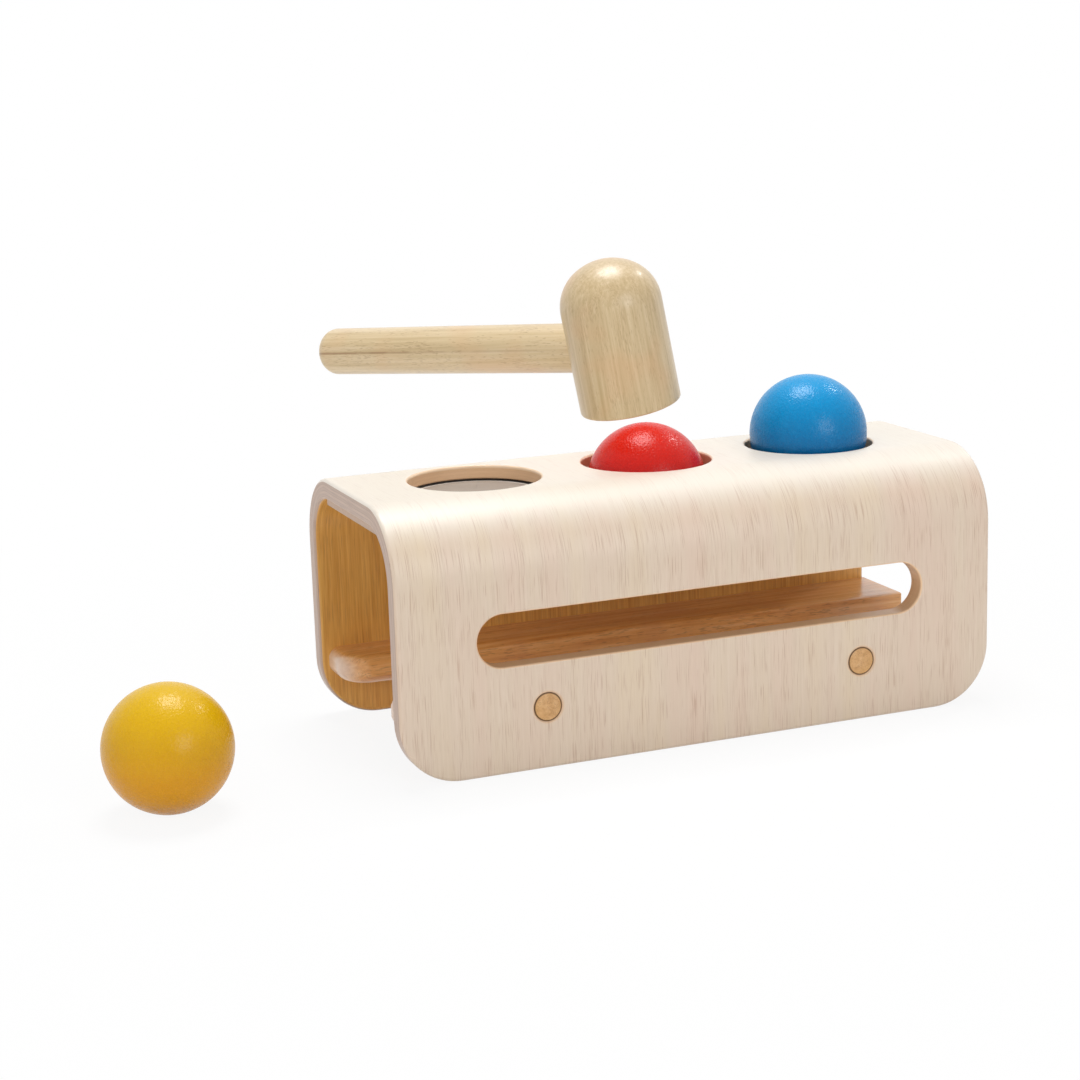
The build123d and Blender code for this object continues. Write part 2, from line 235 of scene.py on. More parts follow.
# %% [markdown]
# ## Bent plywood
# The bench is one inverted U, pressed from seven veneers over a former. Its face
# veneer is a pale rubberwood whose grain runs up the leg, over the bend and across
# the top. Two flat textures could be joined at the bend, but the join would show.
# Here one solid texture follows the press instead: the depth below the outer skin
# tells the veneer, and the way along the section, counted over the bend, tells the
# place in it. So a cut end, a hole's wall and a rounded edge all show their layers
# with no extra work. The inner veneer is darker, as it is in the photograph.

# %% Depth below the outer skin
def straight_distance(tree, one_way, other_way):
    """The straight way between two points: the root of the sum of both ways' squares."""
    corner = add(tree, "CombineXYZ", {0: one_way, 1: other_way})
    return add(tree, "VectorMath", {0: corner}, operation="LENGTH")


material_ply, tree, shader = new_material(
    "varnished_rubberwood_plywood",
    # a satin clear varnish over all of it whitens the top at the camera's low angle
    {"IOR": 1.5, "Coat Weight": 0.8, "Coat Roughness": 0.42},
)
point = millimetres(tree, centre=(0, bench_middle, 0))
x, y, z = add(tree, "SeparateXYZ", {0: point}).outputs
across = add(tree, "Math", {0: y}, operation="ABSOLUTE")
past = []
for place, bend_start in ((across, bend_side), (z, bend_height)):
    over = add(tree, "Math", {0: place, 1: bend_start}, operation="SUBTRACT")
    past.append(add(tree, "Math", {0: over, 1: 0}, operation="MAXIMUM"))
past_side, past_top = past
reach = straight_distance(tree, past_side, past_top)
depth = add(tree, "Math", {0: BEND_RADIUS, 1: reach}, operation="SUBTRACT")
print("the depth runs from 0 to", PLY, "mm, also round the bends")

# %% The way along the section
# it runs up the leg, round the bend, then in over the top
angle = add(tree, "Math", {0: past_top, 1: past_side}, operation="ARCTAN2")
up_leg = add(tree, "Math", {0: z, 1: bend_height}, operation="MINIMUM")
to_bend_end = add(
    tree, "Math", {0: angle, 1: BEND_RADIUS, 2: up_leg}, operation="MULTIPLY_ADD"
)
off_top = add(tree, "Math", {0: across, 1: bend_side}, operation="MINIMUM")
half_way = add(tree, "Math", {0: to_bend_end, 1: off_top}, operation="SUBTRACT")
# the two halves join at the middle of the top: counted from there, and below zero in
# front, the way runs on over the top, so that no grain is mirrored
half_length = bend_height + BEND_RADIUS * pi / 2
to_middle = add(tree, "Math", {0: half_length, 1: half_way}, operation="SUBTRACT")
side = add(tree, "Math", {0: y}, operation="SIGN")
way = add(tree, "Math", {0: to_middle, 1: side}, operation="MULTIPLY")
print("up to the top's edge the section is", round(half_length, 1), "mm long")

# %% Veneers and their grain
# each veneer reads the noise this far from the last one, so that none repeats another
VENEER_STEP = 19
veneer = add(tree, "Math", {0: depth, 1: LAYERS / PLY}, operation="MULTIPLY")
veneer_number = add(tree, "Math", {0: veneer}, operation="FLOOR")
veneer_offset = add(tree, "Math", {0: veneer_number, 1: VENEER_STEP}, operation="MULTIPLY")
veneer_point = add(tree, "CombineXYZ", {0: x, 1: veneer_offset, 2: way})
streak, pore = grain(
    tree, veneer_point, streak_mm=0.8, pore_mm=0.25, pore_run=13, level=0.59
)
print("plywood:", LAYERS, "veneers of", round(PLY / LAYERS, 2), "mm")

# %% Face veneer
face = add(tree, "ValToRGB", {0: streak})
ramp = face.color_ramp.elements
for element, place, tone in zip(ramp, (0.3, 0.7), ("#d6c2ab", "#decbb7")):
    element.position, element.color = place, linear(tone)
ramp.new(0.5).color = linear("#dac6b0")

# broad pinkish and straw bands, as in heartwood that was sliced into the veneer
BAND_WIDTH, BAND_RUN = 16, 150
bands = {"Vector": veneer_point, "Scale": (1 / BAND_WIDTH, 1, 1 / BAND_RUN)}
band_point = add(tree, "Mapping", bands)
band = add(tree, "TexNoise", {"Vector": band_point, "Scale": 1, "Detail": 2})
for full_at, most, tint in ((0.72, 0.5, "#dabdaa"), (0.3, 0.45, "#ddc8a5")):
    share = add(
        tree,
        "MapRange",
        {"Value": band, "From Min": 0.5, "From Max": full_at, "To Max": most},
    )
    face = add(tree, "Mix", {0: share, 6: face, 7: linear(tint)}, data_type="RGBA")

# painted light: the top, and its bends from about their middle up, are painted paler for the
# light and sheen that fall on them
TOP_LIGHT_START, TOP_LIGHT_FULL = 13, BEND_RADIUS - 1
painted_top_light = add(
    tree,
    "MapRange",
    {"Value": past_top, "From Min": TOP_LIGHT_START, "From Max": TOP_LIGHT_FULL, "To Max": 0.75},
    interpolation_type="SMOOTHSTEP",
)
face = add(tree, "Mix", {0: painted_top_light, 6: face, 7: linear("#eae4d8")}, data_type="RGBA")
# the print tells where the painted light on the top starts
print("face veneer: bleached from", TOP_LIGHT_START, "mm above the leg's straight part")

# %% Inner veneer and pores
# the inner face is stained golden brown, but the stain doesn't reach far into its veneer
STAINED_SKIN = 0.25
inner = add(tree, "ValToRGB", {0: streak})
ramp = inner.color_ramp.elements
for element, place, tone in zip(ramp, (0.3, 0.72), ("#d49436", "#f4c062")):
    element.position, element.color = place, linear(tone)
is_inner = add(tree, "Math", {0: depth, 1: PLY - STAINED_SKIN}, operation="GREATER_THAN")
skins = add(tree, "Mix", {0: is_inner, 6: face, 7: inner}, data_type="RGBA")
# the pores are painted fainter under the painted light on the top
PORE_SHARE, PORE_FADING = 0.34, -0.3
pore_share = add(
    tree, "Math", {0: painted_top_light, 1: PORE_FADING, 2: PORE_SHARE}, operation="MULTIPLY_ADD"
)
pore_share = add(tree, "Math", {0: pore, 1: pore_share}, operation="MULTIPLY")
skins = add(tree, "Mix", {0: pore_share, 6: skins, 7: linear("#9a5f30")}, data_type="RGBA")
print("the inner stain is", STAINED_SKIN, "mm deep")

# %% Core veneers
# long grain and end grain by turns
turned = add(tree, "Math", {0: veneer_number, 1: 2}, operation="FLOORED_MODULO")
core = add(
    tree, "Mix", {0: turned, 6: linear("#c1a48e"), 7: linear("#ad8e79")}, data_type="RGBA"
)
# the press squeezed the veneers' own fibres into thin dark lines, a third of a mm apart
FIBRES_PER_MM = (0.3, 3.2, 0.09)
fibre = add(tree, "CombineXYZ", {0: x, 1: depth, 2: way})
fibre = add(tree, "Mapping", {"Vector": fibre, "Scale": FIBRES_PER_MM})
fibre = add(tree, "TexNoise", {"Vector": fibre, "Scale": 1, "Detail": 2})
fibre = add(
    tree, "MapRange", {"Value": fibre, "From Min": 0.5, "From Max": 0.68, "To Max": 0.55}
)
# and a thin glue line lies between two veneers
GLUE_HALF, GLUE_SHARE = 0.12, 0.55
glue = add(tree, "Math", {0: veneer}, operation="FRACT")
glue = add(tree, "Math", {0: glue, 1: 1.0, 2: GLUE_HALF}, operation="COMPARE")
glue = add(tree, "Math", {0: glue, 1: GLUE_SHARE}, operation="MULTIPLY")
for share, tint in ((streak, "#ba9c87"), (fibre, "#947663"), (glue, "#85675a")):
    core = add(tree, "Mix", {0: share, 6: core, 7: linear(tint)}, data_type="RGBA")
core_middle = (PLY / LAYERS + PLY - STAINED_SKIN) / 2
core_half = core_middle - PLY / LAYERS
is_core = add(tree, "Math", {0: depth, 1: core_middle, 2: core_half}, operation="COMPARE")
wood = add(tree, "Mix", {0: is_core, 6: skins, 7: core}, data_type="RGBA")
print("the core is", round(2 * core_half, 2), "mm thick")

# %% Ways from the holes and the plugs
def from_hole_axis(tree):
    """Distance from the nearest hole's axis: its x is 0, or the pitch to either side."""
    point = millimetres(tree, centre=(0, bench_middle, 0))
    x, y, _ = add(tree, "SeparateXYZ", {0: point}).outputs
    off_middle = add(tree, "Math", {0: x}, operation="ABSOLUTE")
    off_end = add(tree, "Math", {0: off_middle, 1: hole_pitch}, operation="SUBTRACT")
    off_end = add(tree, "Math", {0: off_end}, operation="ABSOLUTE")
    nearest = add(tree, "Math", {0: off_middle, 1: off_end}, operation="MINIMUM")
    return straight_distance(tree, nearest, y)


def from_plug_axis(tree):
    """Distance from the nearest plug's axis, which runs straight into the leg."""
    point = millimetres(tree, centre=plug_middle)
    x, _, z = add(tree, "SeparateXYZ", {0: point}).outputs
    off_plug = add(tree, "Math", {0: x}, operation="ABSOLUTE")
    off_plug = add(tree, "Math", {0: off_plug, 1: plug_side}, operation="SUBTRACT")
    return straight_distance(tree, off_plug, z)


print("holes", round(hole_pitch, 1), "and plugs", round(plug_side, 1), "mm off the middle")

# %% Routed walls and glue rings
# the router leaves the walls of the holes and of the slot browner than a sawn end
WALL_HALF, ROUTED_SHARE = 0.5, 0.65
at_hole = add(
    tree,
    "Math",
    {0: from_hole_axis(tree), 1: HOLE_RADIUS, 2: WALL_HALF},
    operation="COMPARE",
)
past_slot = add(tree, "Math", {0: x}, operation="ABSOLUTE")
past_slot = add(
    tree, "Math", {0: past_slot, 1: SLOT_HALF_LENGTH - SLOT_RADIUS}, operation="SUBTRACT"
)
past_slot = add(tree, "Math", {0: past_slot, 1: 0}, operation="MAXIMUM")
off_slot = add(tree, "Math", {0: z, 1: SLOT_HEIGHT}, operation="SUBTRACT")
at_slot = add(
    tree,
    "Math",
    {0: straight_distance(tree, past_slot, off_slot), 1: SLOT_RADIUS, 2: WALL_HALF},
    operation="COMPARE",
)
on_front = add(tree, "Math", {0: y, 1: 0}, operation="LESS_THAN")
at_slot = add(tree, "Math", {0: at_slot, 1: on_front}, operation="MULTIPLY")
routed = add(tree, "Math", {0: at_hole, 1: at_slot}, operation="MAXIMUM")
routed = add(tree, "Math", {0: routed, 1: ROUTED_SHARE}, operation="MULTIPLY")
# glue that was wiped off round each plug leaves a faint orange ring
RING_WIDTH, RING_SHARE = 1.3, 0.5
ring = add(
    tree,
    "MapRange",
    {
        "Value": from_plug_axis(tree),
        "From Min": plug_radius + RING_WIDTH,
        "From Max": plug_radius,
        "To Max": RING_SHARE,
    },
    interpolation_type="SMOOTHSTEP",
)
for share, tint in ((routed, "#f2c898"), (ring, "#dfae78")):
    wood = add(tree, "Mix", {0: share, 6: wood, 7: linear(tint)}, data_type="RGBA")
feed(tree, shader, {"Base Color": wood})
print("rings:", RING_WIDTH, "mm wide")

# %% Gloss and relief of the grain
def open_grain(tree, shader, streak, pore, dark_rough, pale_rough, relief_mm):
    """Pale streaks are smoother than dark ones, and the pores lie below them."""
    rough = add(
        tree, "MapRange", {"Value": streak, "To Min": dark_rough, "To Max": pale_rough}
    )
    relief = add(tree, "Math", {0: streak, 1: pore}, operation="SUBTRACT")
    bump = {"Strength": 0.3, "Distance": relief_mm * MM, "Height": relief}
    bump = add(tree, "Bump", bump)
    feed(tree, shader, {"Roughness": rough, "Normal": bump})


open_grain(tree, shader, streak, pore, dark_rough=0.55, pale_rough=0.42, relief_mm=0.05)
print("made", material_ply.name)

# %% [markdown]
# ## Solid woods
# The rails, the plugs and the hammer are solid wood, cut along the grain. They
# differ in colour and in how their pores show, so one function makes each of them
# from its palette and from the frame in which its grain runs along Z.

# %% Long-grained wood
BLUSH_MM = 19
NO_COAT = (0.0, 0.03)


def long_grain_wood(
    name, palette, centre, turn, streak_mm, pore, roughness=0.42, relief_mm=0.05, coat=NO_COAT
):
    """Streaks choose between three tones, and pores darken them.

    palette: dark, middle, light, pore and blush colours. pore: width, length, level and
    share. coat: weight and roughness. The blush is a slow change of hue. Returns the
    material, its shader and its colour node.
    """
    material, tree, shader = new_material(
        name, {"IOR": 1.5, "Coat Weight": coat[0], "Coat Roughness": coat[1]}
    )
    point = millimetres(tree, centre, turn)
    pore_mm, pore_run, level, most = pore
    streak, pores = grain(tree, point, streak_mm, pore_mm, pore_run, level)
    colour = add(tree, "ValToRGB", {0: streak})
    ramp = colour.color_ramp.elements
    for element, place, tone in zip(ramp, (0.32, 0.7), (palette[0], palette[2])):
        element.position, element.color = place, linear(tone)
    ramp.new(0.5).color = linear(palette[1])
    pore_share = add(tree, "Math", {0: pores, 1: most}, operation="MULTIPLY")
    slow = {"Vector": point, "Scale": 1 / BLUSH_MM, "Detail": 1}
    blush = add(
        tree,
        "MapRange",
        {
            "Value": add(tree, "TexNoise", slow),
            "From Min": 0.5,
            "From Max": 0.72,
            "To Max": 0.4,
        },
    )
    for share, tint in ((pore_share, palette[3]), (blush, palette[4])):
        colour = add(tree, "Mix", {0: share, 6: colour, 7: linear(tint)}, data_type="RGBA")
    feed(tree, shader, {"Base Color": colour})
    open_grain(tree, shader, streak, pores, roughness + 0.06, roughness - 0.05, relief_mm)
    return material, shader, colour


rail_wood, rail_shader, rail_colour = long_grain_wood(
    "oiled_brown_rubberwood",
    ("#d8924a", "#eaab62", "#f5c080", "#875523", "#dc9c66"),
    centre=(0, bench_middle, middle_and_half("front_rail")[0].z),
    turn=(0, radians(90), 0),
    streak_mm=1.6,
    pore=(0.34, 4, 0.6, 0.4),
    roughness=0.4,
    relief_mm=0.04,
    # wiped oil leaves a thin gloss, which draws the highlight along each round edge
    coat=(0.8, 0.2),
)
# faces towards the ends are painted paler and pinker than the sides: partly end grain, partly
# painted light where the open ends light the nose
tree = rail_wood.node_tree
facing = add(tree, "TexCoord").outputs["Normal"]
facing = add(tree, "SeparateXYZ", {0: facing}).outputs["X"]
facing = add(tree, "Math", {0: facing}, operation="ABSOLUTE")
end_grain_and_light_share = add(
    tree,
    "MapRange",
    {"Value": facing, "From Min": 0.35, "From Max": 0.95, "To Max": 0.75},
    interpolation_type="SMOOTHSTEP",
)
rail_ended = add(
    tree, "Mix", {0: end_grain_and_light_share, 6: rail_colour, 7: linear("#dcc4b2")}, data_type="RGBA"
)
feed(tree, rail_shader, {"Base Color": rail_ended})
print("made", rail_wood.name)

# %% [markdown]
# ## Hammer wood
# The head is turned from a pale block with its grain along its own axis, and the
# handle from a dowel, so each has its grain along its own length, and neither lies
# along the room's axes. The frame of each is read from its solid: the grain follows
# the longest way through its points. Typing the angles again would do, but would
# go wrong as soon as the CAD moved the hammer.

# %% The way a turned piece lies
def lie_of(node):
    """Its box's middle in mm, and its axis: the way in which its points spread furthest."""
    mesh = nodes[node].data
    flat = np.empty(len(mesh.vertices) * 3)
    mesh.vertices.foreach_get("co", flat)
    points = flat.reshape(-1, 3) / MM
    middle = (points.min(0) + points.max(0)) / 2
    spread = np.linalg.svd(points - points.mean(0), full_matrices=False)[2][0]
    return Vector(middle), Vector(spread)


def turn_to(axis):
    """The Euler turn that brings Z onto an axis."""
    return Vector((0, 0, 1)).rotation_difference(axis).to_euler()


head_middle, head_axis = lie_of("hammer_head")
handle_middle, handle_axis = lie_of("hammer_handle")
# a thin varnish, which puts the soft highlight on the dome
VARNISH = (0.6, 0.28)
head_wood = long_grain_wood(
    "turned_pale_rubberwood_head",
    ("#bfa578", "#cab186", "#d5be96", "#987547", "#d6a575"),
    centre=head_middle,
    turn=turn_to(head_axis),
    streak_mm=1.1,
    pore=(0.28, 3.0, 0.6, 0.35),
    coat=VARNISH,
)[0]
handle_wood, handle_shader, handle_colour = long_grain_wood(
    "turned_pale_rubberwood_handle",
    ("#c8af82", "#d4bc91", "#dec8a2", "#946e3e", "#d8ae7e"),
    centre=handle_middle,
    turn=turn_to(handle_axis),
    streak_mm=1.8,
    pore=(0.32, 3.0, 0.61, 0.4),
    coat=VARNISH,
)
print("head axis", [round(c, 2) for c in head_axis])
print("handle axis", [round(c, 2) for c in handle_axis])

# %% [markdown]
# ## A dark line along the handle
# The dowel was cut through one dark layer of growth, which shows as a thin brown line
# on the side that faces the front left. It is found by its angle round the dowel's
# axis, and a noise along the axis breaks it up.

# %% The line's angle and strength
MARK_SIDE = Vector((-0.39, -0.9, 0.12))
# half the line's angle round the dowel, to its soft edge and to its full dark, in radians
LINE_EDGE, LINE_DARK = 0.075, 0.02
# the line breaks up over this many mm round the dowel and along it
BREAK_WIDTH, BREAK_RUN = 9, 22
handle_side = turn_to(handle_axis).to_matrix().transposed() @ MARK_SIDE
mark_angle = atan2(handle_side.y, handle_side.x)
tree = handle_wood.node_tree
point = millimetres(tree, handle_middle, turn_to(handle_axis))
x, y, along_dowel = add(tree, "SeparateXYZ", {0: point}).outputs
off_line = add(tree, "Math", {0: y, 1: x}, operation="ARCTAN2")
off_line = add(tree, "Math", {0: off_line, 1: mark_angle}, operation="SUBTRACT")
off_line = add(tree, "Math", {0: off_line}, operation="ABSOLUTE")
line = add(
    tree,
    "MapRange",
    {"Value": off_line, "From Min": LINE_EDGE, "From Max": LINE_DARK},
    interpolation_type="SMOOTHSTEP",
)
breaks = {"Vector": point, "Scale": (1 / BREAK_WIDTH, 1 / BREAK_WIDTH, 1 / BREAK_RUN)}
run = add(tree, "Mapping", breaks)
run = add(tree, "TexNoise", {"Vector": run, "Scale": 1, "Detail": 3})
run = add(
    tree,
    "MapRange",
    {"Value": run, "From Min": 0.38, "From Max": 0.6, "To Min": 0.05, "To Max": 0.5},
)
# it is strong on the outer half of the handle, and fades towards the head
outer_side = 1 if (handle_middle - head_middle).dot(handle_axis) > 0 else -1
fade = add(
    tree,
    "MapRange",
    {
        "Value": along_dowel,
        "From Min": -45 * outer_side,
        "From Max": 5 * outer_side,
        "To Min": 0.3,
        "To Max": 1.25,
    },
)
for share in (run, fade):
    line = add(tree, "Math", {0: line, 1: share}, operation="MULTIPLY")
lined = add(
    tree, "Mix", {0: line, 6: handle_colour, 7: linear("#8f6233")}, data_type="RGBA"
)
feed(tree, handle_shader, {"Base Color": lined})
print("line at", round(mark_angle, 2), "rad round the dowel")

# %% [markdown]
# ## Plugs
# A plug is a slice of dowel with its end grain out, glued over a screw. A dark line runs
# round it, partly a glue line and partly painted shade in the gap round the plug, which a
# plain wood would miss, so the wood is darkened beyond a radius about the plug's own axis.

# %% Plug wood
# where the dark ring starts and where it is full, in mm inside the plug's rim
RIM_START, RIM_FULL = 0.65, 0.3


def plug_wood(node):
    """End grain of a dowel, darker in a thin ring at its rim."""
    material, shader, colour = long_grain_wood(
        f"dowel_end_grain_{node}",
        ("#c0915a", "#d0a16b", "#dab07e", "#93663a", "#d9a35a"),
        centre=middle_and_half(node)[0],
        turn=(radians(90), 0, 0),
        streak_mm=2.0,
        pore=(0.3, 4.0, 0.58, 0.45),
        relief_mm=0.04,
    )
    tree = material.node_tree
    # the dark ring is partly a glue line and partly painted shade in the gap round the plug
    glue_line_and_gap_shade = add(
        tree,
        "MapRange",
        {
            "Value": from_plug_axis(tree),
            "From Min": plug_radius - RIM_START,
            "From Max": plug_radius - RIM_FULL,
            "To Max": 0.95,
        },
        interpolation_type="SMOOTHSTEP",
    )
    ringed = add(tree, "Mix", {0: glue_line_and_gap_shade, 6: colour, 7: linear("#5a3a16")}, data_type="RGBA")
    feed(tree, shader, {"Base Color": ringed})
    return material


plug_materials = {node: plug_wood(node) for node in ("front_plugs", "rear_plugs")}
print("plug materials:", sorted(plug_materials))

# %% [markdown]
# ## Painted balls
# The balls are turned from wood and painted with a thin water-based paint, half
# matte and half gloss. Thin paint lets the grain show as a weak change of tone, and
# pores stay open as dull specks. Its skin dries mottled, which breaks up the
# highlight. A smooth plastic shader would miss all three. The tone is painted darker
# below than on top, as painted shade and light for a light from above.

# %% Water-based paint over turned wood
# how much streaks lift the tone and pores lower it
STREAK_WEIGHT, PORE_WEIGHT = 0.35, -0.07
# the paint dries with a mottled skin, drawn coarse enough to show in the highlight
SKIN_MM, SKIN_RELIEF_MM = 0.9, 0.19


def turned_paint(name, shade_tone, full, centre, radius, turn):
    """Paint darker below and lighter above, as painted shade and light, with a weak grain and
    a mottled skin.
    """
    finish = {
        "IOR": 1.5,
        # thin paint that sinks into wood mirrors less than a moulded skin does
        "Specular IOR Level": 0.21,
        # its skin still has a trace of gloss, which shows the small lamp as a sharp spot
        "Coat Weight": 0.08,
        "Coat Roughness": 0.12,
    }
    material, tree, shader = new_material(name, finish)
    point = millimetres(tree, centre, turn)
    streak, pores = grain(tree, point, 1.3, 0.6, 0.7, 0.575)
    above = add(tree, "SeparateXYZ", {0: millimetres(tree, centre)}).outputs["Z"]
    # the tone's share rises with height: painted shade below and painted light above
    share = add(
        tree,
        "MapRange",
        {
            "Value": above,
            "From Min": -0.3 * radius,
            "From Max": radius,
            "To Min": -STREAK_WEIGHT / 2,
            "To Max": 1 - STREAK_WEIGHT / 2,
        },
    )
    for mark, weight in ((streak, STREAK_WEIGHT), (pores, PORE_WEIGHT)):
        share = add(tree, "Math", {0: mark, 1: weight, 2: share}, operation="MULTIPLY_ADD")
    tone = add(tree, "Mix", {0: share, 6: linear(shade_tone), 7: linear(full)}, data_type="RGBA")
    skin = {"Vector": point, "Scale": 1 / SKIN_MM, "Detail": 1}
    skin = add(tree, "TexNoise", skin)
    bump = {"Strength": 1.0, "Distance": SKIN_RELIEF_MM * MM, "Height": skin}
    bump = add(tree, "Bump", bump)
    # an open pore is dull, so it shows as a dark speck inside a highlight
    rough = add(tree, "MapRange", {"Value": pores, "To Min": 0.27, "To Max": 0.6})
    feed(tree, shader, {"Base Color": tone, "Normal": bump, "Roughness": rough})
    return material


BALLS = {
    # node: shaded and lit colour of the painted shade and light, and the turn of its grain in
    # degrees
    "blue_ball": ("#00609c", "#0099d6", (20, -35, 15)),
    "red_ball": ("#b00a14", "#d4200a", (-15, 40, 30)),
    "yellow_ball": ("#ce9010", "#e1b608", (35, 10, -20)),
}
print("paints:", len(BALLS))

# %% [markdown]
# ## The balls' surface
# A ball could be a UV sphere from the menu. A lathe doesn't make a perfect one, so
# here the surface is worked out: the radius is the ball's own, less a few
# hundredths of a millimetre of slow waves. It never stands outside the solid that it
# replaces.

# %% Shells from grids of points
def closed_shell(rows):
    """Points and faces of a tube whose two ends close in a fan about their mean points.

    rows has shape (rings, around, 3), and each square between two rings is one face.
    """
    rings, around = rows.shape[:2]
    points = np.vstack([rows.reshape(-1, 3), rows[0].mean(0), rows[-1].mean(0)])
    index = np.arange(rings * around).reshape(rings, around)
    following = np.roll(index, -1, axis=1)
    quads = np.stack([index[:-1], following[:-1], following[1:], index[1:]], axis=-1)
    start, end = (np.full(around, rings * around + k) for k in (0, 1))
    fans = np.vstack(
        [
            np.stack([start, following[0], index[0]], axis=-1),
            np.stack([end, index[-1], following[-1]], axis=-1),
        ]
    )
    return points, quads.reshape(-1, 4).tolist() + fans.tolist()


def looped_shell(rows):
    """Points and faces of a ring: the grid's last row joins its first, as on a tyre."""
    index = np.arange(rows.shape[0] * rows.shape[1]).reshape(rows.shape[:2])
    beyond = np.roll(index, -1, axis=0)
    quads = np.stack(
        [index, np.roll(index, -1, axis=1), np.roll(beyond, -1, axis=1), beyond], axis=-1
    )
    return rows.reshape(-1, 3), quads.reshape(-1, 4).tolist()


def outward(points, faces):
    """Turns all faces round where the volume that they enclose comes out negative.

    The volume is a sixth of the sum, over each face's triangles, of a . (b x c).
    """
    three = np.array([face[:3] for face in faces])
    rest = np.array([(face[0], face[-2], face[-1]) for face in faces if len(face) == 4])
    corners = points[np.vstack([three, rest])]
    volume = np.einsum("ij,ij->", corners[:, 0], np.cross(corners[:, 1], corners[:, 2]))
    return faces if volume > 0 else [face[::-1] for face in faces]


def piece_from(name, shells, finish):
    """One smooth object from several shells, with its points in place in metres."""
    starts = np.cumsum([0] + [len(points) for points, _ in shells])
    faces = [
        [int(corner) + int(start) for corner in face]
        for start, (points, shell_faces) in zip(starts, shells)
        for face in outward(points, shell_faces)
    ]
    mesh = bpy.data.meshes.new(name)
    mesh.from_pydata(np.vstack([points for points, _ in shells]).tolist(), [], faces)
    mesh.update()
    mesh.shade_smooth()
    mesh.materials.append(finish)
    piece = bpy.data.objects.new(name, mesh)
    scene.collection.objects.link(piece)
    print(name, len(faces), "faces in", len(shells), "shells")
    return piece


# %% A turned ball on a grid
RINGS, AROUND = 95, 144
# half the height of the waves, and what the tool takes off all round
WAVE_MM, SKIM_MM = 0.03, 0.02


def turned_ball(node, seed, finish):
    """Point = centre + (R - w) * direction, where w is 0.02 to 0.08 mm of slow waves."""
    middle, half = middle_and_half(node)
    polar = np.linspace(0, pi, RINGS + 2)[1:-1, None]
    round_way = np.linspace(0, 2 * pi, AROUND, endpoint=False)[None, :]
    phase = seed * 1.7
    waves = 1 + 0.5 * np.sin(3 * round_way + phase) * np.sin(polar) ** 2
    waves = waves + 0.5 * np.cos(5 * polar + phase)
    reach = half.z - WAVE_MM * waves - SKIM_MM
    direction = np.stack(
        [
            np.sin(polar) * np.cos(round_way),
            np.sin(polar) * np.sin(round_way),
            np.cos(polar) * np.ones_like(round_way),
        ],
        axis=-1,
    )
    shell = closed_shell((np.array(middle) + reach[..., None] * direction) * MM)
    return piece_from(f"painted_{node}", [shell], finish)


for number, (node, (shade_tone, full, turn)) in enumerate(BALLS.items()):
    middle, half = middle_and_half(node)
    turn = [radians(degrees) for degrees in turn]
    paint = turned_paint(f"water_based_paint_{node}", shade_tone, full, middle, half.z, turn)
    ball = turned_ball(node, number, paint)
    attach(ball, node)
    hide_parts(node)
    print(node, "radius", round(half.z, 2), "mm")

# %% [markdown]
# ## Rubber
# The grips are moulded from a soft grey rubber with a fine matte grain from the
# mould. It has no gloss to speak of: a high roughness and a very fine bump are
# enough, with a faint dusting that lightens it unevenly.

# %% Moulded grey rubber
material_rubber, tree, shader = new_material(
    "moulded_grey_rubber", {"Roughness": 0.72, "IOR": 1.52}
)
# per mm: dust lies in patches 11 mm wide, and the mould's grain is about half a mm
DUST_PER_MM, GRAIN_PER_MM = 0.09, 2.2
point = millimetres(tree)
dust = {"Vector": point, "Scale": DUST_PER_MM, "Detail": 4, "Roughness": 0.6}
dust = add(tree, "TexNoise", dust)
rubber = add(
    tree, "Mix", {0: dust, 6: linear("#918479"), 7: linear("#a79b8f")}, data_type="RGBA"
)
# a pale ring along the hole's edge is a painted highlight on the rubber's rim, and the groove
# against the plywood is painted dark as a thin line of shade: start and full, in mm inside the
# hole
off_axis = from_hole_axis(tree)
for start, full_at, tint in ((1.5, 1.0, "#f2ebe2"), (0.55, 0.35, "#2b2520")):
    ring = add(
        tree,
        "MapRange",
        {
            "Value": off_axis,
            "From Min": HOLE_RADIUS - start,
            "From Max": HOLE_RADIUS - full_at,
            "To Max": 0.9,
        },
    )
    rubber = add(tree, "Mix", {0: ring, 6: rubber, 7: linear(tint)}, data_type="RGBA")
mould_grain = {"Vector": point, "Scale": GRAIN_PER_MM, "Detail": 2}
mould_grain = add(tree, "TexNoise", mould_grain)
bump = {"Strength": 0.25, "Distance": 0.05 * MM, "Height": mould_grain}
bump = add(tree, "Bump", bump)
feed(tree, shader, {"Base Color": rubber, "Normal": bump})
print("rubber:", material_rubber.name)

# %% [markdown]
# ## Moulded grips
# Each grip is a rubber ring, clamped round the hole, with eight petals that meet in
# its middle. Where a ball sits in the hole, the petals are bent down round it. The
# CAD has plain petals with sharp edges; the real ones have the soft edges of a mould.
# A cloth simulation could bend them, but a petal's way is simple enough to write
# down: straight from its root until it touches the ball, then round the ball.

# %% Cross-section and ring of a grip
PETALS = 8
GRIP_UNDERSIDE = bench_height - PLY
GRIP_TOP = GRIP_UNDERSIDE + 2.0
ROOT_RADIUS = 24.0
BALL_CLEARANCE = 0.35
MOULD_EDGE, SLIT_EDGE = 0.3, 0.03
# the clamped rim: its radius, its bead's inner radius and height, and its blunt corners
RIM_RADIUS, BEAD_RADIUS, BEAD_HEIGHT, BLUNT = 28.8, 27.4, 2.7, 0.25
RING_STEPS = 120


